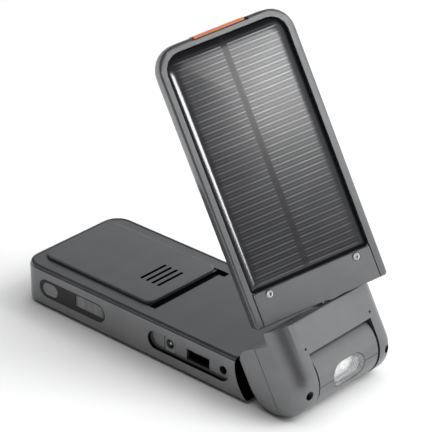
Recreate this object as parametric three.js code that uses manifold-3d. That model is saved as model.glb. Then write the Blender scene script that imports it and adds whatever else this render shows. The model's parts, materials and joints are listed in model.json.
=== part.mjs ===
// Pocket solar power pack: a flat body with a torch knuckle at one end, a head that flips on that
// knuckle, and a solar lid that swivels on the head.  Millimetres, +Z up.  The origin is the centre
// of the body's underside, +X runs along the body towards the knuckle, +Y across it.
import * as THREE from 'three';
import { mergeVertices } from 'three/addons/utils/BufferGeometryUtils.js';
import Module from 'manifold-3d';

const wasm = await Module();
wasm.setup();

// ---- driving dimensions ------------------------------------------------------------------------
const GAP = 0.3;      // clearance between fixed neighbours
const SEAM = 0.25;    // parting gap between two half shells
const RUN = 0.3;      // clearance round a turning or sliding piece

const body = {
  length: 127, width: 60, height: 18, cornerR: 9, edgeR: 2.2, soleR: 0.4,
  wall: 1.8, floor: 1.6, roof: 2.6, split: 16.6,
};
const hinge = {
  reach: 20.4, height: 13.4, knuckleR: 14.6, knuckleHalf: 18.6, knuckleWall: 2.0,
  knuckleSplit: 13.5, notchBack: 0.8, notchUp: 1.5, sideGap: 1.0,
  pinR: 2.5, pinLength: 12, webHalf: 14, webFloor: 2.5, webCeiling: 14.6,
};
hinge.notchR = hinge.knuckleR + 5.8;         // the head's shoulder sweeps inside the notch
const head = {
  radius: hinge.knuckleR + 0.3, cavityR: hinge.knuckleR + 0.8, shoulder: hinge.knuckleR + 2.2,
  shoulderR: 7, neckBack: 5.1, neckTop: hinge.knuckleR + 7.9, neckR: 1.2, frontFillet: 8.5,
  backFillet: 1.6, split: -3.1, windowTop: 8.1, wall: 1.8,
};
const lid = {
  start: head.neckTop + 0.7, length: 118.6, width: 60.2, thickness: 7.6,
  axisHeight: 10.3, axisY: 1.0, rise: 3.0, topR: 10.6, footR: 1.5, edgeR: 0.8,
  rail: 3.1, wall: 1.8, floor: 1.6, split: -0.4,
  stripLength: 14.1, stripThick: 0.9, cellThick: 0.6, windowThick: 1.95,
};
const rest = { flip: 61.3, swivel: 26.4 };   // degrees open from the folded state

const cover = {
  x0: -59, x1: 6.3, halfWidth: 21.9, cornerR: 5, nearR: 3.4, proud: 0.8, thick: 1.85,
  travelGap: 4.0, pocketDepth: 2.1, edgeR: 0.5,
  slots: 4, slotPitch: 3.35, slotFirst: -11.2, slotLength: 16.1, slotWidth: 1.5, slotDepth: 1.2,
};
const notchSlot = { length: 2.9, width: 3.5 };          // finger notch at the pocket's far corner
const sideBand = { height: 8.8, z: 8.6 };               // window and port recess share this band
const pill = { x0: -52.5, x1: -11.9, depth: 1.3, thick: 1.1, backing: 1.8 };
const button = { x: -45.7, length: 9.2, height: 6.0, capDepth: 3.3, flange: 0.8, flangeThick: 1.0 };
const indicator = { x0: -29.8, z0: 6.8, depth: 0.6, rim: 0.35 };
const ports = { x0: 13.5, x1: 59.5, depth: 1.8, backing: 1.6 };
const dc = { x: 24.7, z: 8.7, width: 5.6, holeR: 2.2, pinR: 0.65, length: 11 };
const usb = { x: 40.7, z: 7.9, width: 12.8, height: 5.0, length: 14, sheet: 0.4, tongueThick: 1.8 };
const aux = { x: 54.7, z: 8.3, holeR: 2.0, barrelR: 3.0, length: 12 };
const torch = { z: 13.5, width: 19.5, height: 10.5, lensWall: 1.6, ledSpacing: 8.6, ledR: 2.0 };
const battery = { x0: -54, x1: 6, halfWidth: 18, z0: 2.2, thick: 12 };
const board = { x0: 14, x1: 60, y0: -25.9, y1: 20, z0: 2.9, thick: 1.2 };
const screw = { headR: 2.0, headThick: 1.3, shankR: 0.9, bossR: 2.6, sink: 1.4, bossTop: 9 };
const casePoints = [[-55, -21.5], [2, -25.2], [-50, 25.2], [50, 25.2]];
const pad = { halfLength: 44, halfWidth: 16.5, cornerR: 4, proud: 1.6, sink: 0.9 };
const ear = { screwX: 7.6, screwY: 24.7, holeR: 1.7, seat: 5.4, dotX: -10.5, dotY: 20.4, dotR: 0.55 };
const shaft = { r: 1.6, bushR: 3.6, into: 11.5, flangeHalf: 4.2, clipR: 4.0, clipThick: 0.8 };
const latch = {
  y0: -11.7, y1: 11.1, travel: 1.5, proud: 0.3, wrap: 0.9, low: -3.6, stem: 3.2, stemHalf: 7, bay: 8,
};
const stripScrew = { x: 11.9, y: 19.9, headR: 1.6, headThick: 0.6, shankR: 0.8 };

const endX = body.length / 2;
const hingeX = endX + hinge.reach;
const sideY = body.width / 2;

// ---- solid helpers -----------------------------------------------------------------------------
const FINE = 32;
const COARSE = 14;
const SMALL = 10;
const BIG = 200;

function solidOf(geometry) {
  geometry.deleteAttribute('normal');
  geometry.deleteAttribute('uv');
  const merged = mergeVertices(geometry, 1e-4);
  const mesh = new wasm.Mesh({
    numProp: 3,
    vertProperties: new Float32Array(merged.attributes.position.array),
    triVerts: new Uint32Array(merged.index.array),
  });
  return new wasm.Manifold(mesh);
}

function geometryOf(solid) {
  const mesh = solid.getMesh();
  const geometry = new THREE.BufferGeometry();
  geometry.setAttribute('position', new THREE.BufferAttribute(mesh.vertProperties, 3));
  geometry.setIndex(new THREE.BufferAttribute(mesh.triVerts, 1));
  geometry.computeVertexNormals();
  return geometry;
}

// Shape axes and extrusion direction for a prism along each axis: X takes (y, z), Y takes (x, z)
// and is extruded from its high end down, Z takes (x, y).
const BASIS = {
  X: [[0, 1, 0], [0, 0, 1], [1, 0, 0]],
  Y: [[1, 0, 0], [0, 0, 1], [0, -1, 0]],
  Z: [[1, 0, 0], [0, 1, 0], [0, 0, 1]],
};

function prism(shape, axis, low, high, bevel = 0) {
  const geometry = new THREE.ExtrudeGeometry(shape, {
    depth: high - low - 2 * bevel, bevelEnabled: bevel > 0,
    bevelThickness: bevel, bevelSize: bevel, bevelOffset: -bevel, bevelSegments: 2,
  });
  geometry.translate(0, 0, bevel);
  const [a, b, c] = BASIS[axis].map((v) => new THREE.Vector3(...v));
  geometry.applyMatrix4(new THREE.Matrix4().makeBasis(a, b, c));
  const start = axis === 'Y' ? high : low;
  geometry.translate(...c.clone().multiplyScalar(start * (axis === 'Y' ? -1 : 1)).toArray());
  return solidOf(geometry);
}

function box(x0, x1, y0, y1, z0, z1) {
  const geometry = new THREE.BoxGeometry(x1 - x0, y1 - y0, z1 - z0);
  geometry.translate((x0 + x1) / 2, (y0 + y1) / 2, (z0 + z1) / 2);
  return solidOf(geometry);
}

function cylinder(axis, low, high, r, centre, segments = COARSE, rHigh = r) {
  const geometry = new THREE.CylinderGeometry(rHigh, r, high - low, segments);
  geometry.translate(0, (low + high) / 2, 0);
  if (axis === 'X') geometry.rotateZ(-Math.PI / 2);
  if (axis === 'Z') geometry.rotateX(Math.PI / 2);
  const offset = { X: [0, ...centre], Y: [centre[0], 0, centre[1]], Z: [...centre, 0] }[axis];
  geometry.translate(...offset);
  return solidOf(geometry);
}

// Rectangle with its own radius at each corner, from the low-low corner anticlockwise.
function roundedRect(x0, x1, y0, y1, radii, steps = 4) {
  const [r0, r1, r2, r3] = Array.isArray(radii) ? radii : [radii, radii, radii, radii];
  const corners = [
    [x0 + r0, y0 + r0, r0, 180], [x1 - r1, y0 + r1, r1, 270],
    [x1 - r2, y1 - r2, r2, 0], [x0 + r3, y1 - r3, r3, 90],
  ];
  const points = [];
  for (const [cx, cy, r, from] of corners) {
    const count = r > 0.6 ? steps : 2;
    for (let i = 0; i <= count; i += 1) {
      const a = THREE.MathUtils.degToRad(from + (90 * i) / count);
      points.push(new THREE.Vector2(cx + r * Math.cos(a), cy + r * Math.sin(a)));
    }
  }
  return new THREE.Shape(points);
}

function stadium(x0, x1, centre, height) {
  return roundedRect(x0, x1, centre - height / 2, centre + height / 2, height / 2 - 0.02);
}

const union = (first, ...others) => others.reduce((sum, one) => sum.add(one), first);
const minus = (first, ...others) => others.reduce((rest_, one) => rest_.subtract(one), first);
const mirrored = (make) => union(make(1), make(-1));

// Heights are measured from the body's sole; the whole device stands on its pad, proud of the sole.
const root = new THREE.Group();
const device = new THREE.Group();
device.position.z = pad.proud;
root.add(device);
function place(name, solid, colour, roughness, metalness, group = device) {
  const material = new THREE.MeshStandardMaterial({ color: colour, roughness, metalness });
  const mesh = new THREE.Mesh(geometryOf(solid), material);
  mesh.name = name;
  group.add(mesh);
}

const SHELL_GREY = 0x6f7072;
const BLACK = 0x141415;
const STEEL = 0xb9bcc0;

// ---- body shells -------------------------------------------------------------------------------
function bodyOutline(inset) {
  const r = body.cornerR - inset;
  return roundedRect(-endX + inset, endX + 8, -sideY + inset, sideY - inset, [r, 4, 4, r], 6);
}

const hingeCylinder = (r, half, segments = FINE) =>
  cylinder('Y', -half, half, r, [hingeX, hinge.height], segments);
const notchCylinder = (grow, segments = FINE) => cylinder('Y', -BIG, BIG, hinge.notchR + grow,
  [hingeX - hinge.notchBack, hinge.height + hinge.notchUp], segments);

function bodyOuter() {
  const half = body.height / 2;
  const slab = minus(
    union(prism(bodyOutline(0), 'Z', 0, half + 2, body.soleR),
      prism(bodyOutline(0), 'Z', half - 2, body.height, body.edgeR)),
    notchCylinder(0, 48),
    box(hingeX - 12, BIG, -BIG, BIG, -BIG, BIG),
  );
  const web = box(endX - 4, hingeX, -hinge.knuckleHalf, hinge.knuckleHalf, 0, body.height - 0.8);
  return union(slab, web, hingeCylinder(hinge.knuckleR, hinge.knuckleHalf, 40));
}

function bodyCavity() {
  const chamber = minus(
    prism(bodyOutline(body.wall), 'Z', body.floor, body.height),
    notchCylinder(body.wall),
  );
  const passage = box(endX - 6, hingeX - 6, -hinge.webHalf, hinge.webHalf,
    hinge.webFloor, hinge.webCeiling);
  const bore = hingeCylinder(hinge.knuckleR - hinge.knuckleWall,
    hinge.knuckleHalf - hinge.knuckleWall);
  return union(chamber, passage, bore);
}

// The half space below (or above) the stepped parting line, held back by half a seam.
const stepX = hingeX - 12;
function below(gap) {
  return union(
    box(-BIG, stepX - gap, -BIG, BIG, -BIG, body.split - gap),
    box(stepX - gap - 1, BIG, -BIG, BIG, -BIG, hinge.knuckleSplit - gap),
  );
}
function above(gap) {
  return union(
    box(-BIG, stepX + gap + 1, -BIG, BIG, body.split + gap, BIG),
    box(stepX + gap, BIG, -BIG, BIG, hinge.knuckleSplit + gap, BIG),
  );
}

const lensBack = hingeX + hinge.knuckleR - 5.8;
const torchOpening = (grow) => prism(
  stadium(-torch.width / 2 - grow, torch.width / 2 + grow, torch.z, torch.height + 2 * grow),
  'X', lensBack - 0.8, hingeX + 20);
const pinBores = () => mirrored((s) => cylinder('Y', Math.min(s * 10, s * 30), Math.max(s * 10, s * 30),
  hinge.pinR + RUN, [hingeX, hinge.height]));

const bandLow = sideBand.z - sideBand.height / 2;
const bandHigh = sideBand.z + sideBand.height / 2;
const pillFloor = -sideY + pill.depth;
const portFloor = -sideY + ports.depth;

const padOutline = (grow) => roundedRect(-pad.halfLength - grow, pad.halfLength + grow,
  -pad.halfWidth - grow, pad.halfWidth + grow, pad.cornerR);

function lowerShell() {
  let shell = minus(bodyOuter(), bodyCavity());
  const padGrow = 1.6;
  shell = union(shell,
    box(pill.x0 - padGrow, pill.x1 + padGrow, pillFloor, pillFloor + pill.backing,
      bandLow - padGrow, bandHigh + padGrow),
    box(ports.x0 - padGrow, ports.x1 + padGrow, portFloor, portFloor + ports.backing,
      bandLow - padGrow, bandHigh + padGrow));
  for (const [x, y] of casePoints) {
    shell = shell.add(cylinder('Z', body.floor - 0.2, screw.bossTop, screw.bossR, [x, y]));
  }
  shell = minus(shell,
    prism(stadium(pill.x0, pill.x1, sideBand.z, sideBand.height), 'Y', -sideY - 1, pillFloor),
    prism(stadium(ports.x0, ports.x1, sideBand.z, sideBand.height), 'Y', -sideY - 1, portFloor),
    prism(ovalShape(RUN), 'Y', -sideY - 1, -sideY + 6),
    box(dc.x - dc.width / 2 - GAP, dc.x + dc.width / 2 + GAP, -sideY, -sideY + 6,
      bandLow + GAP, bandHigh - GAP),
    box(usb.x - usb.width / 2, usb.x + usb.width / 2, -sideY, -sideY + 6,
      usb.z - usb.height / 2, usb.z + usb.height / 2),
    cylinder('Y', -sideY, -sideY + 6, aux.holeR, [aux.x, aux.z]),
    torchOpening(GAP), pinBores());
  for (const [x, y] of casePoints) {
    shell = minus(shell,
      cylinder('Z', -1, screw.sink + screw.headThick + GAP, screw.headR + GAP, [x, y]),
      cylinder('Z', -1, screw.bossTop + 1, screw.shankR + GAP, [x, y]));
  }
  shell = shell.subtract(prism(padOutline(GAP), 'Z', -1, pad.sink));
  return shell.intersect(below(SEAM / 2));
}

function coverOutline(inset) {
  return roundedRect(cover.x0 + inset, cover.x1 - (inset > 0 ? 0 : -cover.travelGap),
    -cover.halfWidth + inset, cover.halfWidth - inset,
    [cover.cornerR - inset, cover.nearR, cover.nearR, cover.cornerR - inset]);
}

function upperShell() {
  const plug = minus(prism(bodyOutline(body.wall + GAP), 'Z', body.height - body.roof, body.split + 0.5),
    notchCylinder(body.wall + GAP));
  let shell = minus(bodyOuter(), bodyCavity()).intersect(above(SEAM / 2));
  const roof = prism(bodyOutline(body.wall - 0.2), 'Z', body.split + SEAM / 2, body.height - 0.5);
  shell = union(shell, minus(roof, notchCylinder(0.6)), plug);
  for (const [x, y] of casePoints) {
    shell = shell.add(cylinder('Z', screw.bossTop + GAP, body.height - body.roof + 0.3,
      screw.bossR - GAP, [x, y]));
  }
  const ledge = body.height + cover.proud - cover.thick - 0.15;
  const pocketX0 = cover.x1;
  const pocketX1 = cover.x1 + cover.travelGap;
  const pocketFloor = body.height - cover.pocketDepth;
  shell = minus(shell,
    prism(coverOutline(0), 'Z', ledge, body.height + 1),
    prism(roundedRect(pocketX0, pocketX1, -cover.halfWidth, cover.halfWidth, [0.3, 2, 2, 0.3]),
      'Z', pocketFloor, body.height + 1),
    prism(roundedRect(pocketX1 - 2.5, pocketX1 + notchSlot.length,
      cover.halfWidth - notchSlot.width, cover.halfWidth, [0.3, 1.6, 1.6, 0.3]),
      'Z', pocketFloor, body.height + 1),
    box(battery.x0 - 2, battery.x1 - 3, -battery.halfWidth - 1, battery.halfWidth + 1,
      body.height - body.roof - 1, body.height + 1),
    torchOpening(GAP), pinBores());
  for (const [x, y] of casePoints) {
    shell = shell.subtract(cylinder('Z', screw.bossTop, body.height - body.roof - 0.6,
      screw.shankR + GAP, [x, y]));
  }
  return shell;
}

place('lower_shell', lowerShell(), SHELL_GREY, 0.5, 0);
place('upper_shell', upperShell(), SHELL_GREY, 0.5, 0);

// ---- battery bay -------------------------------------------------------------------------------
function batteryCover() {
  const top = body.height + cover.proud;
  let plate = prism(coverOutline(GAP), 'Z', top - cover.thick, top, cover.edgeR);
  for (let i = 0; i < cover.slots; i += 1) {
    const x = cover.slotFirst + i * cover.slotPitch;
    const y = cover.slotLength / 2;
    plate = plate.subtract(prism(
      roundedRect(x - cover.slotWidth / 2, x + cover.slotWidth / 2, -y - 0.4, y - 0.4,
        cover.slotWidth / 2 - 0.02, 4),
      'Z', top - cover.slotDepth, top + 1));
  }
  return plate;
}

place('battery_cover', batteryCover(), SHELL_GREY, 0.45, 0);
place('battery_pack', prism(roundedRect(battery.x0, battery.x1, -battery.halfWidth,
  battery.halfWidth, 2.5), 'Z', battery.z0, battery.z0 + battery.thick), 0x2d4a7a, 0.4, 0);

const contactX = battery.x1 + GAP;
let contacts = box(contactX + 1.6, contactX + 4.6, -11, 11, body.floor + GAP, 6.2);
for (const y of [-8, 0, 8]) {
  contacts = union(contacts,
    box(contactX, contactX + 0.4, y - 1.5, y + 1.5, 5, 10),
    box(contactX + 0.2, contactX + 3, y - 1.5, y + 1.5, 5, 5.4));
}
place('battery_contacts', contacts, 0xc8a24a, 0.3, 1);

place('main_board', box(board.x0, board.x1, board.y0, board.y1, board.z0,
  board.z0 + board.thick), 0x1f5a38, 0.5, 0);

// ---- side window, button and indicator -----------------------------------------------------------
function ovalShape(grow) {
  return stadium(button.x - button.length / 2 - grow, button.x + button.length / 2 + grow,
    sideBand.z, button.height + 2 * grow);
}

const pillFront = pillFloor - 0.1 - pill.thick;
function indicatorSolid(grow, front, back) {
  const lens = prism(stadium(pill.x0 + 1, pill.x1 - indicator.rim - 0.2 + grow, sideBand.z,
    sideBand.height - 2 * indicator.rim - 0.4 + 2 * grow), 'Y', front, back);
  return lens.intersect(box(indicator.x0 - grow, BIG, -BIG, BIG, indicator.z0 - grow, BIG));
}
place('side_window', minus(
  prism(stadium(pill.x0 + 0.15, pill.x1 - 0.15, sideBand.z, sideBand.height - 0.3),
    'Y', pillFront, pillFloor - 0.1),
  prism(ovalShape(RUN), 'Y', -BIG, BIG),
  indicatorSolid(0.2, -sideY - 1, pillFront + indicator.depth)), BLACK, 0.1, 0);
place('indicator_lens', indicatorSolid(0, pillFront + 0.05, pillFront + indicator.depth - 0.1),
  0x8d8f92, 0.15, 0);

const capBack = pillFront + button.capDepth;
place('power_button', union(
  prism(ovalShape(0), 'Y', pillFront, capBack),
  prism(ovalShape(button.flange), 'Y', capBack - 0.2, capBack + button.flangeThick)),
0x7a7b7d, 0.4, 0);
const switchFront = capBack + button.flangeThick + 0.6;
place('key_switch', union(
  cylinder('Y', switchFront, switchFront + 1.2, 1.6, [button.x, sideBand.z]),
  box(button.x - 3, button.x + 3, switchFront + 1, switchFront + 2.6,
    sideBand.z - 3, sideBand.z + 3)), 0x303234, 0.5, 0);

// ---- ports -------------------------------------------------------------------------------------
const portBack = portFloor + ports.backing;
place('dc_jack', minus(
  box(dc.x - dc.width / 2, dc.x + dc.width / 2, portFloor, portFloor + dc.length,
    bandLow + 2 * GAP, bandHigh - 2 * GAP),
  cylinder('Y', -sideY, portFloor + dc.length - 2, dc.holeR, [dc.x, dc.z]),
  cylinder('Y', -sideY, BIG, dc.pinR + 0.1, [dc.x, dc.z], 12)), 0x5d5e60, 0.5, 0);
place('dc_pin', cylinder('Y', portFloor + 0.6, portFloor + dc.length, dc.pinR, [dc.x, dc.z], 12),
  STEEL, 0.2, 1);

const usbX0 = usb.x - usb.width / 2 - usb.sheet;
const usbX1 = usb.x + usb.width / 2 + usb.sheet;
const usbZ0 = usb.z - usb.height / 2 - usb.sheet;
const usbZ1 = usb.z + usb.height / 2 + usb.sheet;
place('usb_shell', minus(
  box(usbX0, usbX1, portBack + 0.2, portBack + usb.length, usbZ0, usbZ1),
  box(usbX0 + usb.sheet, usbX1 - usb.sheet, portBack - 1, portBack + usb.length - usb.sheet,
    usbZ0 + usb.sheet, usbZ1 - usb.sheet)), STEEL, 0.25, 1);
place('usb_tongue', box(usbX0 + usb.sheet + 0.9, usbX1 - usb.sheet - 0.9, portBack + 0.8,
  portBack + usb.length - usb.sheet - 0.15, usbZ1 - usb.sheet - 0.7 - usb.tongueThick,
  usbZ1 - usb.sheet - 0.7), 0x202224, 0.5, 0);
place('aux_socket', minus(
  cylinder('Y', portBack + 0.2, portBack + aux.length, aux.barrelR, [aux.x, aux.z]),
  cylinder('Y', -sideY, portBack + aux.length - 1.5, aux.holeR - 0.2, [aux.x, aux.z])),
BLACK, 0.5, 0);

// ---- torch -------------------------------------------------------------------------------------
const torchShape = (grow) => stadium(-torch.width / 2 - grow, torch.width / 2 + grow, torch.z,
  torch.height + 2 * grow);
place('torch_lens', minus(
  union(
    prism(torchShape(0), 'X', lensBack, hingeX + 20).intersect(hingeCylinder(hinge.knuckleR - 0.2, 15, 40)),
    prism(torchShape(0.9), 'X', lensBack, lensBack + 0.8)),
  prism(torchShape(-torch.lensWall), 'X', lensBack - 1,
    hingeX + hinge.knuckleR - 0.2 - torch.lensWall)), 0xe6eef2, 0.05, 0);

const ledY = [-torch.ledSpacing / 2, torch.ledSpacing / 2];
let reflector = prism(torchShape(-GAP), 'X', hingeX + 2.6, lensBack - GAP);
for (const y of ledY) {
  reflector = reflector.subtract(
    cylinder('X', hingeX + 2.5, lensBack + 1, torch.ledR + GAP, [y, torch.z], COARSE, 4.1));
}
place('torch_reflector', reflector, 0xd8dadc, 0.12, 1);
ledY.forEach((y, i) => {
  const dome = new THREE.SphereGeometry(torch.ledR, 12, 6);
  dome.translate(hingeX + 5.2, y, torch.z);
  place(`torch_led_${i + 1}`, union(solidOf(dome),
    cylinder('X', hingeX + 2.3, hingeX + 5.2, torch.ledR, [y, torch.z], 12)), 0xf4f3ea, 0.2, 0);
});
place('led_board', prism(torchShape(-0.2), 'X', hingeX + 0.8, hingeX + 2), 0x1f5a38, 0.5, 0);

// ---- fasteners and sole pad -----------------------------------------------------------------------
casePoints.forEach(([x, y], i) => {
  place(`case_screw_${i + 1}`, minus(
    union(
      cylinder('Z', screw.sink, screw.sink + screw.headThick, screw.headR, [x, y]),
      cylinder('Z', screw.sink + 1, body.height - body.roof - 1.2, screw.shankR, [x, y], SMALL)),
    box(x - 1.2, x + 1.2, y - 0.25, y + 0.25, 0, screw.sink + 0.7),
    box(x - 0.25, x + 0.25, y - 1.2, y + 1.2, 0, screw.sink + 0.7)), 0x3a3b3d, 0.35, 1);
});

place('sole_pad', prism(padOutline(0), 'Z', -pad.proud, pad.sink - 0.1, 0.4), BLACK, 0.9, 0);

const earInner = hinge.knuckleHalf + hinge.sideGap;
const pinFlange = earInner + head.wall + 1.2;
for (const [side, s] of [['left', -1], ['right', 1]]) {
  const span = (from, to, r) => cylinder('Y', Math.min(s * from, s * to), Math.max(s * from, s * to),
    r, [hingeX, hinge.height]);
  place(`hinge_pin_${side}`, union(
    span(pinFlange + 1.2 - hinge.pinLength, pinFlange + 0.5, hinge.pinR),
    span(pinFlange, pinFlange + 1.2, hinge.pinR + 1.6)), STEEL, 0.3, 1);
}

// ---- head: built folded flat, then flipped about the hinge axis ----------------------------------
const headGroup = new THREE.Group();
headGroup.position.set(hingeX, 0, hinge.height);
headGroup.rotation.y = THREE.MathUtils.degToRad(rest.flip);
device.add(headGroup);

// How far the head's surface is pulled in at a given y by a side edge of that radius.
function pull(fillet, y) {
  const into = Math.abs(y) - (sideY - fillet);
  return into <= 0 ? 0 : fillet - Math.sqrt(Math.max(0, fillet * fillet - into * into));
}
const edgeSteps = [0, 0.03, 0.11, 0.24, 0.42, 0.66, 1];
const stations = [
  ...edgeSteps.map((t) => -sideY + head.frontFillet * t),
  ...edgeSteps.slice().reverse().map((t) => sideY - head.frontFillet * t),
];

// The straight part: one section across Y, trimmed by the side profile with its shoulder and neck.
function headStraight() {
  const section = new THREE.Shape([
    ...stations.map((y) => new THREE.Vector2(y, -head.radius + pull(head.backFillet, y))),
    ...stations.slice().reverse()
      .map((y) => new THREE.Vector2(y, head.radius - pull(head.frontFillet, y))),
  ]);
  const { radius, shoulder, shoulderR, neckBack, neckTop, neckR } = head;
  const profile = new THREE.Shape();
  profile.moveTo(1, -radius);
  profile.lineTo(1, radius);
  profile.lineTo(-neckTop + neckR, radius);
  profile.absarc(-neckTop + neckR, radius - neckR, neckR, Math.PI / 2, Math.PI, false);
  profile.absarc(-neckTop + neckR, neckBack + neckR, neckR, Math.PI, Math.PI * 1.5, false);
  profile.absarc(-shoulder - neckR, neckBack - neckR, neckR, Math.PI / 2, 0, true);
  profile.absarc(-shoulder + shoulderR, -radius + shoulderR, shoulderR, Math.PI, Math.PI * 1.5, false);
  const points = profile.getPoints(5).filter((p, i, all) => i === 0 || p.distanceTo(all[i - 1]) > 0.01);
  return prism(section, 'X', -neckTop, 0)
    .intersect(prism(new THREE.Shape(points), 'Y', -sideY - 1, sideY + 1));
}

// The rolled end: half discs across Y whose edge radius grows from the back to the front.
function headRolledEnd() {
  const steps = 20;
  const positions = [];
  const index = [];
  const count = steps + 1;
  for (const y of stations) {
    for (let i = 0; i < count; i += 1) {
      const a = Math.PI * (i / steps - 0.5);
      const fillet = head.backFillet + (head.frontFillet - head.backFillet) * (i / steps);
      const r = head.radius - pull(fillet, y);
      positions.push(i === 0 || i === steps ? 0 : r * Math.cos(a), y, r * Math.sin(a));
    }
  }
  for (let s = 0; s + 1 < stations.length; s += 1) {
    for (let i = 0; i < count; i += 1) {
      const a = s * count + i;
      const b = s * count + ((i + 1) % count);
      index.push(a, a + count, b, b, a + count, b + count);
    }
  }
  for (const s of [0, stations.length - 1]) {
    for (let i = 1; i + 1 < count; i += 1) {
      const fan = [s * count, s * count + i, s * count + i + 1];
      index.push(...(s === 0 ? fan : fan.reverse()));
    }
  }
  const geometry = new THREE.BufferGeometry();
  geometry.setAttribute('position', new THREE.Float32BufferAttribute(positions, 3));
  geometry.setIndex(index);
  return solidOf(geometry);
}

const headSolid = union(headStraight(), headRolledEnd());
const axisCylinder = (r, y0, y1, segments = FINE) => cylinder('Y', y0, y1, r, [0, 0], segments);
const earCavity = () => mirrored((s) => {
  const y0 = Math.min(s * (earInner + head.wall), s * (sideY - head.wall));
  const y1 = Math.max(s * (earInner + head.wall), s * (sideY - head.wall));
  const inner = union(
    axisCylinder(head.radius - 4.2, y0, y1),
    box(-head.shoulder + 3.2, 0, y0, y1, -head.radius + 4.4, head.radius - 6));
  return inner;
});
const earBosses = () => mirrored((s) => cylinder('Z', -head.radius + 3, head.radius - 3, 2.9,
  [ear.screwX - 0.6, s * (ear.screwY - 0.2)]));

function earHalves() {
  return minus(headSolid,
    axisCylinder(head.cavityR, -earInner, earInner, 40),
    box(-head.windowTop, BIG, -earInner, earInner, 0, BIG),
    box(-BIG, BIG, -earInner, earInner, -BIG, head.neckBack));
}

const neckBore = union(
  cylinder('X', -head.neckTop - 1, -head.cavityR + 3, shaft.bushR + GAP, [lid.axisY, lid.axisHeight]),
  cylinder('X', -head.cavityR - 1.6, -head.cavityR + 4, shaft.clipR + GAP, [lid.axisY, lid.axisHeight]));
const earScrewBores = mirrored((s) => union(
  cylinder('Z', ear.seat, BIG, ear.holeR, [ear.screwX, s * ear.screwY]),
  cylinder('Z', -head.radius + 3, ear.seat + 1, screw.shankR + GAP, [ear.screwX, s * ear.screwY])));
const hollowEars = minus(earHalves(), minus(earCavity(), earBosses()));

place('head_shell', minus(hollowEars,
  box(-BIG, BIG, -BIG, BIG, -BIG, head.split + SEAM / 2),
  axisCylinder(hinge.pinR + RUN, -sideY + head.wall, sideY - head.wall, COARSE),
  neckBore, earScrewBores,
  mirrored((s) => cylinder('Z', head.radius - 1.2, BIG, ear.dotR, [ear.dotX, s * ear.dotY], 12))),
SHELL_GREY, 0.45, 0, headGroup);

for (const [side, s] of [['left', -1], ['right', 1]]) {
  place(`ear_cover_${side}`, minus(hollowEars,
    box(-BIG, BIG, -BIG, BIG, head.split - SEAM / 2, BIG),
    s < 0 ? box(-BIG, BIG, 0, BIG, -BIG, BIG) : box(-BIG, BIG, -BIG, 0, -BIG, BIG),
    earScrewBores), SHELL_GREY, 0.45, 0, headGroup);
}

const SIDES = [['left', -1], ['right', 1]];
for (const [side, s] of SIDES) {
  place(`ear_screw_${side}`, union(
    cylinder('Z', ear.seat + GAP, ear.seat + GAP + screw.headThick, ear.holeR - GAP,
      [ear.screwX, s * ear.screwY]),
    cylinder('Z', -head.radius + 4, ear.seat + 1, screw.shankR, [ear.screwX, s * ear.screwY], 12)),
  0x3a3b3d, 0.35, 1, headGroup);
  const span = [s * (earInner + head.wall + GAP), s * (pinFlange - GAP)].sort((a, b) => a - b);
  place(`friction_washer_${side}`, minus(
    axisCylinder(hinge.pinR + 1.9, ...span, COARSE),
    axisCylinder(hinge.pinR + RUN, -BIG, BIG, COARSE)), STEEL, 0.3, 1, headGroup);
}
place('swivel_bush', minus(
  cylinder('X', -head.neckTop + 0.1, -head.cavityR - 1.6 - GAP, shaft.bushR, [lid.axisY, lid.axisHeight]),
  cylinder('X', -BIG, BIG, shaft.r + RUN, [lid.axisY, lid.axisHeight])), BLACK, 0.4, 0, headGroup);

// ---- lid: built folded flat about the swivel axis -------------------------------------------------
const lidGroup = new THREE.Group();
lidGroup.position.set(0, lid.axisY, lid.axisHeight);
lidGroup.rotation.x = THREE.MathUtils.degToRad(rest.swivel);
headGroup.add(lidGroup);

const lidNear = -lid.start;
const lidFar = -lid.start - lid.length;
const lidHalf = lid.width / 2;
const lidTop = lid.rise;
const lidLow = lid.rise - lid.thickness;
const stripFar = lidNear - lid.stripLength;
const frameLow = lid.split + SEAM / 2;

function lidOutline(inset) {
  const top = lid.topR - inset;
  const low = Math.max(lid.footR - inset, 0.3);
  return roundedRect(lidFar + inset, lidNear - inset, -lidHalf + inset, lidHalf - inset,
    [top, low, low, top], 7);
}
function cellOutline(inset) {
  const r = lid.topR - lid.rail - inset;
  const x0 = lidFar + lid.rail + inset;
  const x1 = stripFar - inset;
  const half = lidHalf - lid.rail - inset;
  return roundedRect(x0, x1, -half, half, [r, 1.6, 1.6, r]);
}

const latchSlot = union(
  box(lidFar - 2, lidFar + latch.wrap + GAP, latch.y0 - GAP, latch.y1 + latch.travel + GAP,
    latch.low - GAP, BIG),
  box(lidFar - 2, lidFar + 3, -latch.stemHalf - GAP, latch.stemHalf + latch.travel + GAP,
    lidLow + lid.floor, lid.split - SEAM / 2 - 0.1));
const shaftBore = cylinder('X', lidNear - shaft.into - GAP, lidNear + 2, shaft.r + GAP, [0, 0]);
const shaftPocket = box(lidNear - 6 - GAP, lidNear - 3 + GAP, -shaft.flangeHalf - GAP,
  shaft.flangeHalf + GAP, -shaft.r - GAP, shaft.r + GAP);
const stripY = lidHalf - lid.rail;
const stripLow = lidTop - lid.stripThick;
const stripScrewBores = (r) => mirrored((s) =>
  cylinder('Z', lidLow + lid.floor, BIG, r, [lidNear - stripScrew.x, s * stripScrew.y], 12));

const lidSlab = prism(lidOutline(0), 'Z', lidLow, lidTop, lid.edgeR);
place('panel_frame', minus(
  lidSlab.intersect(box(-BIG, BIG, -BIG, BIG, frameLow, BIG)),
  prism(cellOutline(0), 'Z', -2, BIG),
  box(stripFar - 0.5, BIG, -stripY, stripY, stripLow - GAP, BIG),
  latchSlot, shaftBore, shaftPocket, stripScrewBores(stripScrew.shankR + GAP)),
SHELL_GREY, 0.45, 0, lidGroup);

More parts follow.
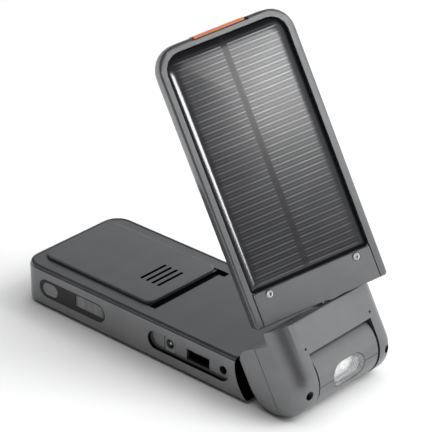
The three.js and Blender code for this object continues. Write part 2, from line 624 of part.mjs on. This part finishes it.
place('panel_back', minus(
  lidSlab.intersect(box(-BIG, BIG, -BIG, BIG, -BIG, lid.split - SEAM / 2)),
  prism(lidOutline(lid.wall), 'Z', lidLow + lid.floor, BIG)
    .intersect(box(-BIG, lidNear - shaft.into - 2, -BIG, BIG, -BIG, BIG)),
  latchSlot, shaftBore, shaftPocket), SHELL_GREY, 0.5, 0, lidGroup);

const latchBay = box(-BIG, lidFar + latch.bay, -BIG, BIG, -BIG, BIG);
place('foam_pad', minus(prism(cellOutline(1.2), 'Z', lidLow + lid.floor + GAP, frameLow - 1.1), latchBay),
  0x26282b, 0.95, 0, lidGroup);
place('charge_board', minus(prism(cellOutline(2), 'Z', frameLow - 0.9, frameLow), latchBay), 0x1f5a38, 0.5, 0,
  lidGroup);
const cellLow = frameLow + GAP;
place('solar_cell', prism(cellOutline(GAP), 'Z', cellLow, cellLow + lid.cellThick),
  0x17181b, 0.3, 0, lidGroup);
const windowLow = cellLow + lid.cellThick + 0.2;
place('cell_window', prism(cellOutline(GAP), 'Z', windowLow, windowLow + lid.windowThick, 0.8),
  0x1c1d20, 0.06, 0, lidGroup);

place('hinge_strip', minus(
  prism(roundedRect(stripFar + 0.1, lidNear - 0.1, -stripY + GAP, stripY - GAP, 0.6),
    'Z', stripLow, lidTop, 0.3),
  stripScrewBores(stripScrew.shankR + GAP),
  mirrored((s) => cylinder('Z', lidTop - stripScrew.headThick - 0.1, BIG, stripScrew.headR + 0.2,
    [lidNear - stripScrew.x, s * stripScrew.y]))), SHELL_GREY, 0.4, 0, lidGroup);
for (const [side, s] of SIDES) {
  const [x, y] = [lidNear - stripScrew.x, s * stripScrew.y];
  place(`strip_screw_${side}`, minus(
    union(
      cylinder('Z', lidTop - stripScrew.headThick + 0.1, lidTop - 0.02, stripScrew.headR, [x, y]),
      cylinder('Z', frameLow + 0.2, lidTop - 0.4, stripScrew.shankR, [x, y], 12)),
    box(x - 1, x + 1, y - 0.2, y + 0.2, lidTop - 0.4, BIG),
    box(x - 0.2, x + 0.2, y - 1, y + 1, lidTop - 0.4, BIG)), STEEL, 0.25, 1, lidGroup);
}

const clipX = -head.cavityR - 0.5;
place('swivel_shaft', union(
  cylinder('X', lidNear - shaft.into, clipX + 0.3, shaft.r, [0, 0]),
  box(lidNear - 6, lidNear - 3, -shaft.flangeHalf, shaft.flangeHalf, -shaft.r, shaft.r)),
STEEL, 0.3, 1, lidGroup);
place('swivel_clip', minus(
  cylinder('X', clipX - shaft.clipThick, clipX, shaft.clipR, [0, 0]),
  cylinder('X', -BIG, BIG, shaft.r + GAP, [0, 0])), STEEL, 0.3, 1, lidGroup);

const stemLow = lidLow + lid.floor + GAP;
place('latch_slider', union(
  prism(roundedRect(latch.y0, latch.y1, latch.low, lidTop - 0.1, 0.6), 'X',
    lidFar - latch.proud, lidFar + latch.wrap, 0.25),
  box(lidFar + latch.wrap - 0.4, lidFar + latch.wrap + latch.stem, -latch.stemHalf,
    latch.stemHalf, stemLow, lid.split - SEAM / 2 - 0.4)), 0xd8814f, 0.4, 0, lidGroup);
const springX = lidFar + latch.wrap + latch.stem + 0.8;
place('latch_spring', union(
  box(springX, springX + 0.4, -6, 6, stemLow, stemLow + 0.8),
  box(springX, springX + 2, 5.6, 6, stemLow, stemLow + 0.8),
  box(springX, springX + 2, -6, -5.6, stemLow, stemLow + 0.8)), STEEL, 0.3, 1, lidGroup);

export default root;
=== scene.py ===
import json
import math

import bmesh
import bpy
from mathutils import Matrix, Vector


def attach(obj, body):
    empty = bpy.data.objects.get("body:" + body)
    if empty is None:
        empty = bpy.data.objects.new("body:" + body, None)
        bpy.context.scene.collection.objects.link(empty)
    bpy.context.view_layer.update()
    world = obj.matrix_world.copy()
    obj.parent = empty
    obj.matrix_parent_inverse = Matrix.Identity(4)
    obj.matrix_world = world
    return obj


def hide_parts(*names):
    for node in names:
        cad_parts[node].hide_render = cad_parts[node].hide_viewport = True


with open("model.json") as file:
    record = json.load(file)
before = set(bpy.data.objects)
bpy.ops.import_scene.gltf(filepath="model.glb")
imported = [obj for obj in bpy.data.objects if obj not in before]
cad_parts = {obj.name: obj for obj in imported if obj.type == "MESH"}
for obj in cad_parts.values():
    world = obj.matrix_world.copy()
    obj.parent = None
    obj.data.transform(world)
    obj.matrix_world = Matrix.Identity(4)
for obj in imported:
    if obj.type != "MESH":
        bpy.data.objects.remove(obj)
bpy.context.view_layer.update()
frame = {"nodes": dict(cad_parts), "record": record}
nodes = frame["nodes"]

MM = 0.001

# The head and the lid in the row frame, as the CAD places them: the head is flipped about the knuckle,
# the lid is swivelled on the head.
HEAD = Matrix.Translation((0.0839, 0, 0.0150)) @ Matrix.Rotation(math.radians(61.3), 4, "Y")
LID = HEAD @ Matrix.Translation((0, 0.001, 0.0103)) @ Matrix.Rotation(math.radians(26.4), 4, "X")

# Lid sizes in its own folded frame, millimetres.
CELL = {"x0": -138.4, "x1": -37.6, "half": 26.7, "far_r": 7.2, "near_r": 1.4, "low": 0.95, "top": 2.75,
        "roll": 4.2}
FINGERS = {"first": -134.4, "last": -39.0, "pitch": 2.77}

# Places in the shells where shade is painted black, in row-frame millimetres (x0, x1, y0, y1, z0, z1): the
# pocket that the cover slides into with its finger notch, the floors of the cover's grip slots, and the
# walls of the port recess and of the side window's recess.
POCKET = [(6.2, 10.45, -22.2, 22.2, 16.9, 19.25), (7.0, 13.4, 18.3, 22.2, 16.9, 19.25)]
GRIP = [(-12.4, 0.1, -8.8, 8.0, 18.9, 20.3)]
RECESSES = [(13.0, 60.0, -29.75, -28.35, 5.0, 15.0), (-53.0, -11.4, -29.75, -28.8, 5.0, 15.0)]
# The hinge notch in the base: a round wall about the knuckle, from its inner to its outer radius, painted
# black as shade.
NOTCH = {"x": 83.1, "z": 16.5, "inner": 17.0, "outer": 20.45, "end": 75.0}
# The light guide in the side window, millimetres: soft start, full from, full to, end of its bright middle,
# a painted reflection.
GUIDE = {"along": (-30.0, -28.2, -15.0, -12.2), "up": (8.0, 9.4, 13.4, 14.6)}
# The cell's face in the lid's frame, in the same form: two columns of finger lines, the blank gap between
# them, and what is left inside its rims, which are painted dark as shade.
COLUMNS = [(-24.6, -20.0, -2.5, -1.9), (0.3, 0.9, 20.0, 24.2)]
GAP = (-2.3, -1.7, 0.1, 0.8)
RIM = {"along": (-137.6, -131.8, -40.4, -37.9), "across": (-26.7, -24.6, 20.8, 26.3)}

SHELL = (0.180, 0.182, 0.186)
# Painted shade, for the pocket, the grip slots, the recesses and the hinge notch.
SHADE_BLACK = (0.002, 0.002, 0.002)


# ---- node graph helpers --------------------------------------------------------------------------
class Graph:
    """A node tree, with short calls for the nodes used here."""

    def __init__(self, tree, coordinates):
        self.tree = tree
        self.coord = tree.nodes.new("ShaderNodeTexCoord").outputs[coordinates]

    def link(self, value, socket):
        if isinstance(value, bpy.types.NodeSocket):
            self.tree.links.new(value, socket)
        elif isinstance(value, (tuple, list)) and len(value) == 3 and socket.type == "RGBA":
            socket.default_value = (*value, 1)
        else:
            socket.default_value = value

    def math(self, op, a, b=0.0):
        node = self.tree.nodes.new("ShaderNodeMath")
        node.operation = op
        self.link(a, node.inputs[0])
        self.link(b, node.inputs[1])
        return node.outputs[0]

    def length(self, a, b):
        return self.math("SQRT", self.math("ADD", self.math("MULTIPLY", a, a), self.math("MULTIPLY", b, b)))

    def ramp(self, value, low, high, to_low=0.0, to_high=1.0):
        node = self.tree.nodes.new("ShaderNodeMapRange")
        node.interpolation_type = "SMOOTHSTEP"
        for key, v in (("Value", value), ("From Min", low), ("From Max", high), ("To Min", to_low),
                       ("To Max", to_high)):
            self.link(v, node.inputs[key])
        return node.outputs["Result"]

    def band(self, value, start, full_from, full_to, end):
        """1 between full_from and full_to, falling softly to 0 at start and end."""
        return self.math("MULTIPLY", self.ramp(value, start, full_from), self.ramp(value, end, full_to))

    def noise(self, scale, detail=2.0, rough=0.5, stretch=(1, 1, 1)):
        mapping = self.tree.nodes.new("ShaderNodeMapping")
        mapping.inputs["Scale"].default_value = stretch
        self.link(self.coord, mapping.inputs["Vector"])
        node = self.tree.nodes.new("ShaderNodeTexNoise")
        self.link(mapping.outputs[0], node.inputs["Vector"])
        self.link(scale, node.inputs["Scale"])
        self.link(detail, node.inputs["Detail"])
        self.link(rough, node.inputs["Roughness"])
        return node.outputs["Fac"]

    def mix(self, fac, a, b):
        node = self.tree.nodes.new("ShaderNodeMix")
        node.data_type = "RGBA"
        self.link(fac, node.inputs[0])
        self.link(a, node.inputs[6])
        self.link(b, node.inputs[7])
        return node.outputs[2]

    def axes(self):
        node = self.tree.nodes.new("ShaderNodeSeparateXYZ")
        self.link(self.coord, node.inputs[0])
        return node.outputs


class Material(Graph):
    """A surface material in its object's own coordinates: the row frame's for a CAD node, the lid's for
    the cell window."""

    def __init__(self, name):
        self.mat = bpy.data.materials.new(name)
        self.mat.use_nodes = True
        super().__init__(self.mat.node_tree, "Object")
        self.shader = self.tree.nodes["Principled BSDF"]

    def set(self, **inputs):
        for key, value in inputs.items():
            self.link(value, self.shader.inputs[key.replace("_", " ")])

    def inside(self, well):
        """1 inside the box (x0, x1, y0, y1, z0, z1), given in millimetres, with edges 0.15 mm soft."""
        total = 1.0
        for value, low, high in zip(self.axes(), well[0::2], well[1::2]):
            limits = (low - 0.07, low + 0.08, high - 0.08, high + 0.07)
            total = self.math("MULTIPLY", total, self.band(value, *(v * MM for v in limits)))
        return total

    def notch_shade_ring(self):
        """1 on the wall of the notch that the head turns in, and on the web between its ears: the place of
        its painted shade.
        """
        x, _, z = self.axes()
        dx = self.math("SUBTRACT", x, NOTCH["x"] * MM)
        dz = self.math("SUBTRACT", z, NOTCH["z"] * MM)
        r = self.length(dx, dz)
        low, high = NOTCH["inner"] * MM, NOTCH["outer"] * MM
        ring = self.band(r, low - 0.2 * MM, low, high, high + 0.1 * MM)
        return self.math("MULTIPLY", ring, self.ramp(x, (NOTCH["end"] + 1.5) * MM, NOTCH["end"] * MM))

    def bump(self, height, strength, distance):
        node = self.tree.nodes.new("ShaderNodeBump")
        self.link(strength, node.inputs["Strength"])
        self.link(distance, node.inputs["Distance"])
        self.link(height, node.inputs["Height"])
        self.link(node.outputs[0], self.shader.inputs["Normal"])


def tint(colour, factor):
    return tuple(min(1.0, c * factor) for c in colour)


def plastic(name, colour, roughness, grain=0.35, clear=0.0, flake=0.0, specular=0.5, shade_wells=(), notch=False):
    """Moulded plastic: spark-eroded grain, faint flow streaks and a slightly uneven sheen.
    flake is the share of metallic pigment.  Shade is painted black inside each well, a box in millimetres,
    and with notch on the wall of the hinge notch."""
    g = Material(name)
    cloud = g.noise(45.0, 3.0, 0.6)
    fine = g.noise(2600.0, 2.0, 0.7)
    streak = g.noise(160.0, 2.0, 0.5, (1, 0.15, 1))
    shade = g.math("ADD", g.math("MULTIPLY", cloud, 0.7), g.math("MULTIPLY", streak, 0.3))
    body = g.mix(g.ramp(shade, 0.3, 0.7), tint(colour, 0.93), tint(colour, 1.07))
    # Painted shade: black inside the wells and on the notch wall.
    for well in shade_wells:
        body = g.mix(g.inside(well), body, SHADE_BLACK)
    if notch:
        body = g.mix(g.notch_shade_ring(), body, SHADE_BLACK)
    g.set(Base_Color=body, Metallic=flake,
          Roughness=g.ramp(g.math("ADD", g.math("MULTIPLY", cloud, 0.6), g.math("MULTIPLY", fine, 0.4)),
                           0.3, 0.7, roughness * 0.9, roughness * 1.12))
    g.set(Coat_Weight=clear, Coat_Roughness=0.08, Specular_IOR_Level=specular)
    g.bump(fine, grain, 0.00004)
    return g.mat


def metal(name, colour, roughness, brushed=(1, 40, 1)):
    """Bare or plated metal with fine drawn lines."""
    g = Material(name)
    lines = g.noise(900.0, 3.0, 0.6, brushed)
    cloud = g.noise(220.0, 2.0, 0.5)
    g.set(Base_Color=g.mix(g.ramp(cloud, 0.3, 0.7), tint(colour, 0.9), tint(colour, 1.05)), Metallic=1.0,
          Roughness=g.ramp(lines, 0.3, 0.7, roughness * 0.7, roughness * 1.4))
    g.bump(lines, 0.15, 0.00002)
    return g.mat


def rubber(name, colour):
    """Matt rubber or foam with a little dust."""
    g = Material(name)
    grain = g.noise(1800.0, 3.0, 0.7)
    dust = g.noise(70.0, 4.0, 0.6)
    g.set(Base_Color=g.mix(g.ramp(dust, 0.45, 0.75), colour, tint(colour, 1.8)),
          Roughness=g.ramp(grain, 0.3, 0.7, 0.75, 0.92))
    g.bump(grain, 0.5, 0.00008)
    return g.mat


def clear_plastic(name):
    """Clear moulding, nearly see-through, with a slight haze."""
    g = Material(name)
    haze = g.noise(300.0, 2.0, 0.5)
    g.set(Base_Color=(0.97, 0.98, 0.99), Alpha=g.ramp(haze, 0.3, 0.7, 0.07, 0.1), IOR=1.5,
          Roughness=g.ramp(haze, 0.3, 0.7, 0.02, 0.06))
    g.bump(haze, 0.05, 0.00004)
    return g.mat


def circuit(name):
    """Green solder mask with slightly raised tracks."""
    g = Material(name)
    cells = g.tree.nodes.new("ShaderNodeTexVoronoi")
    cells.distance = "MANHATTAN"
    cells.inputs["Scale"].default_value = 330.0
    g.link(g.coord, cells.inputs["Vector"])
    track = g.ramp(cells.outputs["Distance"], 0.25, 0.32)
    g.set(Base_Color=g.mix(track, (0.02, 0.16, 0.06), (0.012, 0.085, 0.035)), Roughness=0.35)
    g.bump(track, 0.2, 0.00003)
    return g.mat


def light_guide(name):
    """Smoked light guide: grey with soft upright streaks and a brighter middle, a painted reflection, so
    darker towards its edges.
    """
    g = Material(name)
    x, _, z = g.axes()
    streak = g.noise(420.0, 1.0, 0.5, (1, 1, 0.05))
    # Painted reflection: the light guide's brighter middle.
    painted_reflection = g.math("MULTIPLY", g.band(x, *(v * MM for v in GUIDE["along"])),
                 g.band(z, *(v * MM for v in GUIDE["up"])))
    body = g.mix(g.ramp(streak, 0.3, 0.7), (0.12, 0.122, 0.126), (0.155, 0.157, 0.162))
    g.set(Base_Color=g.mix(painted_reflection, (0.03, 0.03, 0.032), body), Roughness=g.ramp(streak, 0.3, 0.7, 0.12, 0.22))
    g.bump(streak, 0.05, 0.00004)
    return g.mat


def battery_wrap(name):
    """Blue shrink wrap with shallow ripples."""
    g = Material(name)
    ripple = g.noise(140.0, 3.0, 0.5, (1, 3, 1))
    g.set(Base_Color=g.mix(g.ramp(ripple, 0.3, 0.7), (0.03, 0.08, 0.22), (0.05, 0.13, 0.32)),
          Roughness=g.ramp(ripple, 0.3, 0.7, 0.22, 0.38))
    g.bump(ripple, 0.25, 0.0001)
    return g.mat


def finger_lines(g, mm_x, mm_y):
    """Printed finger lines with a fainter set half a pitch off, in two columns, slightly uneven."""
    wobble = g.math("MULTIPLY", g.math("SUBTRACT", g.noise(60.0, 2.0, 0.5), 0.5), 0.25)
    phase = g.math("DIVIDE", g.math("SUBTRACT", g.math("ADD", mm_x, wobble), FINGERS["first"]),
                   FINGERS["pitch"])
    whole = g.math("ABSOLUTE", g.math("SUBTRACT", g.math("FRACT", g.math("ADD", phase, 0.5)), 0.5))
    half = g.math("ABSOLUTE", g.math("SUBTRACT", g.math("FRACT", phase), 0.5))
    ghost = g.math("MULTIPLY", g.ramp(half, 0.05, 0.13, 1.0, 0.0), 0.3)
    lines = g.math("ADD", g.ramp(whole, 0.05, 0.12, 1.0, 0.0), ghost)
    first, last = FINGERS["first"], FINGERS["last"]
    along = g.band(mm_x, first - 1.6, first - 0.8, last - 1.5, last)
    columns = g.math("ADD", *(g.band(mm_y, *column) for column in COLUMNS))
    fade = g.ramp(g.noise(90.0, 2.0, 0.5), 0.25, 0.75, 0.55, 1.0)
    return g.math("MULTIPLY", g.math("MULTIPLY", lines, g.math("MULTIPLY", along, columns)), fade)


def cell_face(name):
    """Dark silicon under clear resin: two columns of fine finger lines with a blank gap between them.
    Lines and silicon are greyer towards one far corner, a painted highlight, and darker at the rims, painted
    shade.  The resin thins out at the far and right rims."""
    g = Material(name)
    x, y, _ = g.axes()
    mm_x = g.math("MULTIPLY", x, 1000.0)
    mm_y = g.math("MULTIPLY", y, 1000.0)
    fingers = finger_lines(g, mm_x, mm_y)
    # Painted highlight: silicon and finger lines greyer towards one far corner.
    dx = g.math("DIVIDE", g.math("SUBTRACT", mm_x, -124.0), 62.0)
    dy = g.math("DIVIDE", g.math("SUBTRACT", mm_y, 15.0), 30.0)
    corner = g.math("POWER", g.ramp(g.length(dx, dy), 0.0, 1.75, 1.0, 0.0), 1.7)
    brushed = g.noise(420.0, 3.0, 0.6, (1, 0.06, 1))
    body = g.mix(corner, (0.006, 0.0062, 0.007), (0.03, 0.0305, 0.032))
    body = g.mix(g.math("MULTIPLY", g.ramp(brushed, 0.3, 0.7), 0.12), body, (0.05, 0.051, 0.056))
    # Painted shade: darker outside the rims.
    inside_rim = g.math("MULTIPLY", g.band(mm_x, *RIM["along"]), g.band(mm_y, *RIM["across"]))
    body = g.mix(inside_rim, (0.006, 0.006, 0.007), body)
    gap = g.band(mm_y, *GAP)
    body = g.mix(g.math("MULTIPLY", gap, 0.25), body, (0.02, 0.02, 0.022))
    bright = g.mix(corner, (0.09, 0.092, 0.096), (0.42, 0.425, 0.43))
    resin = g.math("MULTIPLY", g.ramp(mm_y, 26.0, 21.5, 0.3, 1.0), g.ramp(mm_x, -137.6, -133.0, 0.2, 1.0))
    g.set(Base_Color=g.mix(g.math("MULTIPLY", fingers, 0.55), body, bright),
          Roughness=g.ramp(brushed, 0.2, 0.8, 0.28, 0.42), Specular_IOR_Level=0.1,
          Coat_Weight=g.math("MULTIPLY", resin, g.math("SUBTRACT", 1.0, g.math("MULTIPLY", gap, 0.3))),
          Coat_Roughness=0.165, Coat_IOR=1.5)
    g.bump(g.math("ADD", g.math("MULTIPLY", fingers, 0.6), g.math("MULTIPLY", brushed, 0.2)), 0.08, 0.00004)
    return g.mat


MATERIALS = {
    "shell_plastic": plastic("shell_plastic", SHELL, 0.31, flake=0.75),
    # The cover carries painted shade on its grip-slot floors.
    "cover_plastic": plastic("cover_plastic", tint(SHELL, 1.03), 0.31, flake=0.75, shade_wells=GRIP),
    "gloss_black": plastic("gloss_black", (0.006, 0.006, 0.007), 0.14, 0.03, specular=0.3),
    "indicator_plastic": light_guide("indicator_plastic"),
    "button_plastic": plastic("button_plastic", (0.15, 0.152, 0.156), 0.3, 0.25),
    "black_plastic": plastic("black_plastic", (0.012, 0.012, 0.013), 0.5, 0.3),
    "bare_steel": metal("bare_steel", (0.56, 0.57, 0.58), 0.24),
    "dark_screw_steel": metal("dark_screw_steel", (0.05, 0.05, 0.055), 0.35),
    "bright_screw_steel": metal("bright_screw_steel", (0.86, 0.86, 0.87), 0.16),
    "clear_lens": clear_plastic("clear_lens"),
    "reflector_chrome": plastic("reflector_chrome", (0.95, 0.95, 0.96), 0.1, 0.03, 1.0, 0.6),
    "led_epoxy": plastic("led_epoxy", (0.85, 0.85, 0.76), 0.1, 0.02, 1.0),
    "circuit_board": circuit("circuit_board"),
    "contact_brass": metal("contact_brass", (0.72, 0.5, 0.2), 0.22),
    "battery_wrap": battery_wrap("battery_wrap"),
    "pad_rubber": rubber("pad_rubber", (0.018, 0.018, 0.019)),
    "foam": rubber("foam", (0.03, 0.03, 0.032)),
    "solar_wafer": plastic("solar_wafer", (0.02, 0.021, 0.026), 0.25, 0.1, 0.5),
    "cell_gloss": cell_face("cell_gloss"),
    "latch_plastic": plastic("latch_plastic", (0.56, 0.19, 0.085), 0.35, 0.15, 0.1),
}
SLOT_OF = {s["node"]: s["material_slot"] for s in frame["record"]["subparts"]}
# The base's shells, with painted shade in the pocket, the recesses and the hinge notch.
BASE_SHELL = plastic("shell_plastic_base", SHELL, 0.31, flake=0.75, shade_wells=POCKET + RECESSES, notch=True)


# ---- finish on the carried-over CAD nodes -----------------------------------------------------------
# Edge bevel widths, millimetres.
BEVELS = {
    "lower_shell": 0.35, "upper_shell": 0.35, "battery_cover": 0.3, "head_shell": 0.3,
    "ear_cover_left": 0.3, "ear_cover_right": 0.3, "panel_frame": 0.35, "panel_back": 0.35,
    "hinge_strip": 0.2, "power_button": 0.3, "side_window": 0.2, "indicator_lens": 0.25,
    "latch_slider": 0.2, "sole_pad": 0.3, "dc_jack": 0.15, "strip_screw_left": 0.1, "strip_screw_right": 0.1,
}
for name, obj in nodes.items():
    mesh = obj.data
    mesh.materials.clear()
    on_base = name in ("lower_shell", "upper_shell")
    mesh.materials.append(BASE_SHELL if on_base else MATERIALS[SLOT_OF[name]])
    mesh.polygons.foreach_set("use_smooth", [True] * len(mesh.polygons))
    obj.modifiers.new("weld", "WELD").merge_threshold = 0.001 * MM
    if name in BEVELS:
        bevel = obj.modifiers.new("edge", "BEVEL")
        bevel.width = BEVELS[name] * MM
        bevel.segments = 2
        bevel.limit_method = "ANGLE"
        bevel.angle_limit = math.radians(40)
    obj.modifiers.new("creases", "EDGE_SPLIT").split_angle = math.radians(48 if name in BEVELS else 36)
    obj.modifiers.new("normals", "WEIGHTED_NORMAL").keep_sharp = True


# ---- domed cell window --------------------------------------------------------------------------------
def rounded_ring(x0, x1, half, radii, steps=8, spans=10):
    """Points of a rounded rectangle, anticlockwise from the low-low corner, with points along each side."""
    corners = [(x0, -half, 180, radii[0]), (x1, -half, 270, radii[1]), (x1, half, 0, radii[2]),
               (x0, half, 90, radii[3])]
    arcs = []
    for cx, cy, start, r in corners:
        ox = cx + (r if cx == x0 else -r)
        oy = cy + (r if cy < 0 else -r)
        arcs.append([(ox + r * math.cos(math.radians(start + 90 * i / steps)),
                      oy + r * math.sin(math.radians(start + 90 * i / steps))) for i in range(steps + 1)])
    points = []
    for k, arc in enumerate(arcs):
        points += arc
        a, b = arc[-1], arcs[(k + 1) % 4][0]
        step = ((b[0] - a[0]) / spans, (b[1] - a[1]) / spans)
        points += [(a[0] + step[0] * i, a[1] + step[1] * i) for i in range(1, spans)]
    return points


def ringed_solid(name, rings, matrix, material):
    """A closed mesh through stacked rings of equal length, capped at both ends."""
    bm = bmesh.new()
    rows = [[bm.verts.new(Vector(p) * MM) for p in ring] for ring in rings]
    count = len(rows[0])
    for low, high in zip(rows, rows[1:]):
        for i in range(count):
            j = (i + 1) % count
            bm.faces.new((low[i], low[j], high[j], high[i]))
    bm.faces.new(list(reversed(rows[0])))
    bm.faces.new(rows[-1])
    bmesh.ops.recalc_face_normals(bm, faces=bm.faces)
    mesh = bpy.data.meshes.new(name)
    bm.to_mesh(mesh)
    bm.free()
    mesh.polygons.foreach_set("use_smooth", [True] * len(mesh.polygons))
    mesh.set_sharp_from_angle(angle=math.radians(50))
    mesh.materials.append(material)
    obj = bpy.data.objects.new(name, mesh)
    obj.matrix_world = matrix
    bpy.context.scene.collection.objects.link(obj)
    return obj


def cell_rings():
    """Rings from the cell window's underside to its crown: a rolled edge, then a shallow dome."""
    rings = []
    rise = CELL["top"] - CELL["low"]
    for inset in (0, 0, 0.25, 0.6, 1.1, 1.8, 2.6, 3.6, 5, 7, 10, 14, 19, 24.5):
        rolled = 1 - (1 - min(inset / CELL["roll"], 1.0)) ** 2.6
        crown = 1 - (1 - inset / CELL["half"]) ** 2
        height = CELL["low"] + rise * (0.82 * rolled + 0.18 * crown)
        if not rings:
            height = CELL["low"] - 0.1
        far = max(CELL["far_r"] - inset * 0.6, 0.4)
        near = max(CELL["near_r"] - inset * 0.2, 0.4)
        ring = rounded_ring(CELL["x0"] + inset, CELL["x1"] - inset, CELL["half"] - inset,
                            [far, near, near, far])
        rings.append([(px, py, height) for px, py in ring])
    return rings


window = ringed_solid("cell_dome", cell_rings(), LID, MATERIALS["cell_gloss"])
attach(window, "lid")
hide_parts("cell_window")


# ---- floor, lights, camera ------------------------------------------------------------------------------
def floor():
    g = Material("studio_floor")
    cloud = g.noise(3.0, 3.0, 0.5)
    g.set(Base_Color=g.mix(g.ramp(cloud, 0.3, 0.7), (0.93, 0.93, 0.93), (0.96, 0.96, 0.96)), Roughness=0.9)
    g.shader.inputs["Specular IOR Level"].default_value = 0.1
    bm = bmesh.new()
    bmesh.ops.create_grid(bm, x_segments=8, y_segments=8, size=4.0)
    mesh = bpy.data.meshes.new("studio_floor")
    bm.to_mesh(mesh)
    bm.free()
    mesh.materials.append(g.mat)
    obj = bpy.data.objects.new("studio_floor", mesh)
    bpy.context.scene.collection.objects.link(obj)


def softbox(name, location, target, size, power, only=()):
    """A rectangular soft light.  Without "only" it stays out of reflections; with it, it lights and is
    mirrored in just those objects."""
    light = bpy.data.lights.new(name, "AREA")
    light.shape = "RECTANGLE"
    light.size, light.size_y = size
    light.energy = power
    obj = bpy.data.objects.new(name, light)
    obj.location = location
    obj.rotation_euler = (Vector(target) - Vector(location)).to_track_quat("-Z", "Y").to_euler()
    obj.visible_glossy = bool(only)
    bpy.context.scene.collection.objects.link(obj)
    if only:
        receivers = bpy.data.collections.new(name + "_receivers")
        for receiver in only:
            receivers.objects.link(receiver)
        obj.light_linking.receiver_collection = receivers


floor()
softbox("key_right", (1.0, 0.5, 1.1), (0.06, 0, 0.06), (0.8, 0.8), 14)
softbox("overhead", (0.0, 0.2, 1.6), (0.02, 0, 0.05), (2.2, 2.2), 22)
softbox("low_front", (0.42, -1.25, 0.03), (0.08, 0, 0.08), (1.1, 0.16), 6)
# Mirrored in the cell's far right corner, in the rolled left edge of its window, and in the torch.
softbox("lid_far", (0.942, -0.108, 0.57), (0.04, 0.014, 0.136), (0.15, 0.15), 0.66,
        (window, nodes["panel_frame"], nodes["hinge_strip"]))
softbox("lid_edge", (0.553, -0.722, 0.334), (0.03, 0, 0.11), (0.45, 0.16), 6.5, (window,))
softbox("torch_fill", (0.6, -0.5, 0.25), (0.1, 0, 0.015), (0.2, 0.2), 5,
        [nodes[name] for name in ("torch_lens", "torch_reflector", "torch_led_1", "torch_led_2")])


def studio_world():
    """A soft surround: bright behind and to the right, dark towards the camera and overhead."""
    world = bpy.data.worlds.new("studio")
    world.use_nodes = True
    g = Graph(world.node_tree, "Generated")
    x, y, z = g.axes()
    towards = g.math("ADD", g.math("MULTIPLY", x, 0.45), g.math("MULTIPLY", y, 0.89))
    level = g.ramp(towards, -0.15, 0.95, 0.04, 1.4)
    height = g.ramp(z, 0.5, 0.9, 1.0, 0.12)
    background = world.node_tree.nodes["Background"]
    g.link(g.math("MULTIPLY", level, height), background.inputs["Strength"])
    g.link((0.98, 0.99, 1.0), background.inputs["Color"])
    bpy.context.scene.world = world


studio_world()


def photo_camera():
    """The photograph's viewpoint, solved from the straight edges of the body and the lid."""
    data = bpy.data.cameras.new("camera")
    data.lens = 176.74
    data.sensor_width = 36.0
    camera = bpy.data.objects.new("camera", data)
    camera.location = (0.552457, -0.581995, 0.467234)
    view = Vector((-0.597312, 0.656838, -0.460198))
    camera.rotation_euler = view.to_track_quat("-Z", "Y").to_euler()
    bpy.context.scene.collection.objects.link(camera)
    bpy.context.scene.camera = camera


photo_camera()
bpy.context.scene.view_settings.view_transform = "Standard"
